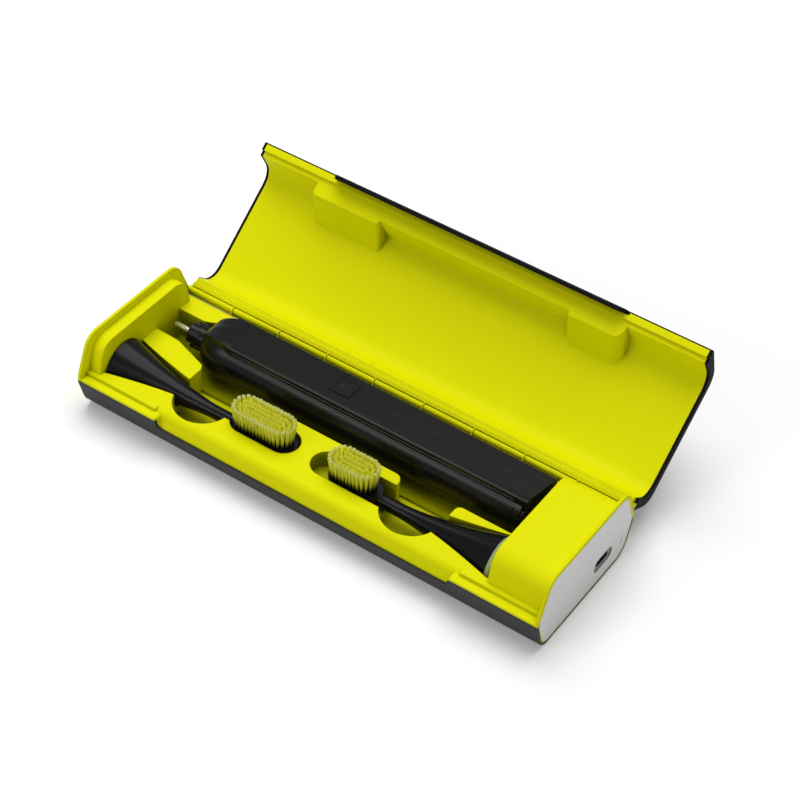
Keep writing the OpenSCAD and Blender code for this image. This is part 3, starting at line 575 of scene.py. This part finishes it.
wound_copper = Finish("wound_copper", (0.75, 0.32, 0.16), 0.3, Metallic=1.0)
wires = wound_copper.noise(0.3 * MM, detail=1.0)
wound_copper.set("Roughness", 0.25 + wires * 0.2)
wound_copper.bump(wires, 0.05 * MM)
wound_copper.on("charging_coil", "receiver_coil")

frame_white = Finish("frame_white", (0.7, 0.7, 0.68), 0.5)
frame_grain = frame_white.noise(0.5 * MM)
frame_white.set("Roughness", 0.45 + frame_grain * 0.1)
frame_white.bump(frame_grain, 0.02 * MM)
frame_white.on("handle_frame")

cell_sleeve = Finish("cell_sleeve", (0.05, 0.15, 0.35), 0.25, Coat_Weight=0.5)
wrinkle = cell_sleeve.noise(4 * MM, detail=2.0, stretch=(0.3, 1, 1))
cell_sleeve.set("Roughness", 0.2 + wrinkle * 0.15)
cell_sleeve.bump(wrinkle, 0.05 * MM)
cell_sleeve.on("handle_battery")

# Unlit, the status light is a dark slit
light_pipe = Finish("light_pipe", (0.012, 0.012, 0.013), 0.2, Specular_IOR_Level=0.1)
frosting = light_pipe.noise(0.3 * MM)
light_pipe.set("Roughness", 0.15 + frosting * 0.2)
light_pipe.on("status_light_pipe")
print("inner parts done")

# %% [markdown]
# ## Filaments
# A brush head carries tufts of fine nylon filaments in oval rows. The frame holds a few thick
# strands in their place, and this piece stands for them with real tufts. One filament is modelled,
# one tuft is made of leaning copies of it, and the tuft is copied along the rows. The tufts of the
# outer row lean outwards, so that the field opens like a brush in use.
#
# Known fault: a new primitive has every vertex selected, so in edit mode the end face isn't selected
# alone, and the extrusion takes the whole prism. Each filament is two closed prisms: an outer one
# whose faces look inwards, and one of half its width inside it, which stands out a little at the
# tip. Deselecting all before the end face is picked would give one prism with a narrower tip.

# %% Points along an oval row
FILAMENT_R = 0.14 * MM
TUFT_FILAMENTS = 20
TUFT_ROOT = 0.38 * MM
TUFT_TOP = 0.85 * MM
TUFT_STEP = 1.75 * MM
ROW_STEP = 1.8 * MM
# How far the filaments end below the frame's strands, and the inner rows below the outer one
TOP_DROP = 1.9 * MM
INNER_DROP = 0.9 * MM
# How far the tips of the outer row lean out, and the share of it in each row
OUTER_LEAN = 1.1 * MM
ROW_LEANS = (1, 0.5, 0.1)
# Width that the frame's strands have beyond the tufts' rows
FIELD_MARGIN = 1.0 * MM


def stadium_point(s, straight, radius):
    """A point at distance s along an oval row, and the row's outward direction there."""
    arc = math.pi * radius
    if s < straight:
        return Vector((s - straight / 2, -radius)), Vector((0, -1))
    if s < straight + arc:
        angle = (s - straight) / radius - math.pi / 2
        outward = Vector((math.cos(angle), math.sin(angle)))
        return Vector((straight / 2, 0)) + outward * radius, outward
    if s < 2 * straight + arc:
        return Vector((straight / 2 - (s - straight - arc), radius)), Vector((0, 1))
    angle = (s - 2 * straight - arc) / radius + math.pi / 2
    outward = Vector((math.cos(angle), math.sin(angle)))
    return Vector((-straight / 2, 0)) + outward * radius, outward


# %% One filament, then one tuft


def model_filament(length):
    """A slim six-sided filament on the origin: two nested prisms, as the cell above says."""
    deselect()
    bpy.ops.mesh.primitive_cylinder_add(vertices=6, radius=FILAMENT_R, depth=length,
                                        location=(0, 0, length / 2))
    filament = bpy.context.object
    bpy.ops.object.transform_apply(location=True, rotation=True, scale=True)
    for face in filament.data.polygons:
        face.select = face.normal.z > 0.9
    bpy.ops.object.mode_set(mode="EDIT")
    bpy.ops.mesh.extrude_region_move(TRANSFORM_OT_translate={"value": (0, 0, FILAMENT_R)})
    bpy.ops.transform.resize(value=(0.5, 0.5, 1))
    bpy.ops.object.mode_set(mode="OBJECT")
    return filament


def copies_of(pattern, places, name):
    """Copies a mesh to each place, a matrix, and joins the copies into one object."""
    copies = []
    for place in places:
        copy = bpy.data.objects.new(name, pattern.data.copy())
        bpy.context.collection.objects.link(copy)
        copy.data.transform(place)
        copies.append(copy)
    deselect()
    for copy in copies:
        copy.select_set(True)
    bpy.context.view_layer.objects.active = copies[0]
    bpy.ops.object.join()
    joined = bpy.context.object
    joined.name = name
    bpy.data.objects.remove(pattern)
    return joined


def leaning(root, top, height):
    """The matrix that stands an upright unit of a given height on root, with its tip over top."""
    turn = Vector((0, 0, 1)).rotation_difference(Vector((top.x - root.x, top.y - root.y, height)))
    return Matrix.Translation((root.x, root.y, 0)) @ turn.to_matrix().to_4x4()


def model_tuft(length, chance):
    """A round tuft whose filaments spread a little towards their tips."""
    places = []
    for index in range(TUFT_FILAMENTS):
        spread = math.sqrt((index + 0.5) / TUFT_FILAMENTS)
        angle = index * math.radians(137.5) + chance.uniform(-0.3, 0.3)
        ray = Vector((math.cos(angle), math.sin(angle)))
        height = 1 - chance.uniform(0, 0.7) * MM / length
        places.append(leaning(ray * TUFT_ROOT * spread, ray * TUFT_TOP * spread, length)
                      @ Matrix.Diagonal((1, 1, height, 1)))
    return copies_of(model_filament(length), places, "tuft")


print("a tuft has", TUFT_FILAMENTS, "filaments")

# %% Plant both fields


def plant(field_node, name, body, seed, shift, field_l):
    """Fills an oval field with tufts, as one piece that stands for a frame node."""
    low, high = (Vector(corner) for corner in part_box(field_node))
    middle = (low + high) / 2
    field_w = high.y - low.y - FIELD_MARGIN
    length = high.z - low.z - TOP_DROP - FILAMENT_R
    chance = random.Random(seed)
    straight = field_l - field_w
    places = []
    row = 0
    radius = field_w / 2 - TUFT_ROOT - FILAMENT_R
    while radius > 0:
        around = 2 * straight + 2 * math.pi * radius
        count = round(around / TUFT_STEP)
        lean = OUTER_LEAN * ROW_LEANS[min(row, 2)]
        shorter = 0 if row == 0 else INNER_DROP
        for index in range(count):
            along = (index + row / 2) * around / count % around
            spot, outward = stadium_point(along, straight, radius)
            spin = Matrix.Rotation(chance.uniform(0, 2 * math.pi), 4, "Z")
            height = 1 - (shorter + chance.uniform(0, 0.3) * MM) / length
            places.append(Matrix.Translation((middle.x + shift, middle.y, low.z))
                          @ leaning(spot, spot + outward * lean, length)
                          @ spin @ Matrix.Diagonal((1, 1, height, 1)))
        radius -= ROW_STEP
        row += 1
    piece = copies_of(model_tuft(length, chance), places, name)
    for face in piece.data.polygons:
        face.use_smooth = True
    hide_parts(field_node)
    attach(piece, body)
    print(name, "tufts:", len(places), "faces:", len(piece.data.polygons))
    return piece


plant("brush_1_bristles", "left_filaments", "brush_head_1", 3, -0.6 * MM, 28.0 * MM)
plant("brush_2_bristles", "right_filaments", "brush_head_2", 5, -1.2 * MM, 21.0 * MM)

# %% [markdown]
# ## Nylon
# The filaments are lime nylon. Little light reaches their roots, so they darken there, and the cut
# tips scatter it, so they are pale. Both follow the height, and a noise that is stretched along z
# gives each filament its own shade.

# %% Nylon, dark between the roots and pale at the cut tips
NYLON_TIP_Z = 28.6 * MM
NYLON_ROOT_Z = 21.2 * MM
nylon = Finish("lime_nylon", (0.62, 0.66, 0.03), 0.35, Specular_IOR_Level=0.3)
nylon_x, nylon_y, nylon_z = nylon.axes()
tip = (NYLON_TIP_Z - nylon_z).below(0, 0.5 * MM)
root = nylon_z.below(NYLON_ROOT_Z, 2.6 * MM)
strand = nylon.noise(0.6 * MM, detail=1.0, stretch=(1, 1, 0.05))
paint = nylon.mix(strand, (0.76, 0.75, 0.02, 1), (0.60, 0.64, 0.05, 1))
paint = nylon.mix(tip, paint, (0.72, 0.69, 0.32, 1))
nylon.set("Base Color", nylon.mix(root, paint, (0.05, 0.05, 0.01, 1)))
nylon.set("Roughness", 0.3 + strand * 0.2)
nylon.on("left_filaments", "right_filaments")
print("filaments are lime")

# %% [markdown]
# ## Rings on the hinge
# Base and lid share nine knuckles on one pin. A thin yellow ring stands at each gap between two
# knuckles. A circle drawn out along x has faces that look inwards, so Solidify's offset of -1 puts
# the wall on the outside: the rings are collars round the barrel, 0.88 mm high, and leave the gap
# itself open. Their outer part lies inside the lining's seat. Rings that fill the gap would need
# the normals recalculated before the wall is added.

# %% Hinge spacers
KNUCKLES = 9
HINGE_Y = 36.2 * MM
HINGE_Z = 19.4 * MM
SPACER_INNER_R = 1.6 * MM
SPACER_WALL = 0.88 * MM
SPACER_T = 0.26 * MM
pin_low, pin_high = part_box("hinge_pin")
pitch = (pin_high[0] - pin_low[0]) / KNUCKLES

deselect()
bpy.ops.mesh.primitive_circle_add(vertices=32, radius=SPACER_INNER_R, fill_type="NOTHING",
                                  rotation=(0, math.radians(90), 0))
spacer = bpy.context.object
bpy.ops.object.transform_apply(location=True, rotation=True, scale=True)
bpy.ops.object.mode_set(mode="EDIT")
bpy.ops.mesh.select_all(action="SELECT")
bpy.ops.mesh.extrude_region_move(TRANSFORM_OT_translate={"value": (SPACER_T, 0, 0)})
bpy.ops.object.mode_set(mode="OBJECT")
wall = spacer.modifiers.new("wall", "SOLIDIFY")
wall.thickness = SPACER_WALL
wall.offset = -1
bpy.ops.object.modifier_apply(modifier="wall")
spacers = copies_of(spacer, [
    Matrix.Translation((pin_low[0] + i * pitch - SPACER_T / 2, HINGE_Y, HINGE_Z))
    for i in range(1, KNUCKLES)], "hinge_spacers")
spacer_low = min(v.co.y for v in spacers.data.vertices)
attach(spacers, "case")
spacer_yellow = Finish("spacer_yellow", YELLOW, 0.55, Specular_IOR_Level=0.06)
spacer_grain = spacer_yellow.noise(0.4 * MM)
spacer_yellow.set("Roughness", 0.5 + spacer_grain * 0.14)
spacer_yellow.bump(spacer_grain, 0.02 * MM)
spacer_yellow.on("hinge_spacers")
print("spacers from y", round(spacer_low / MM, 2))
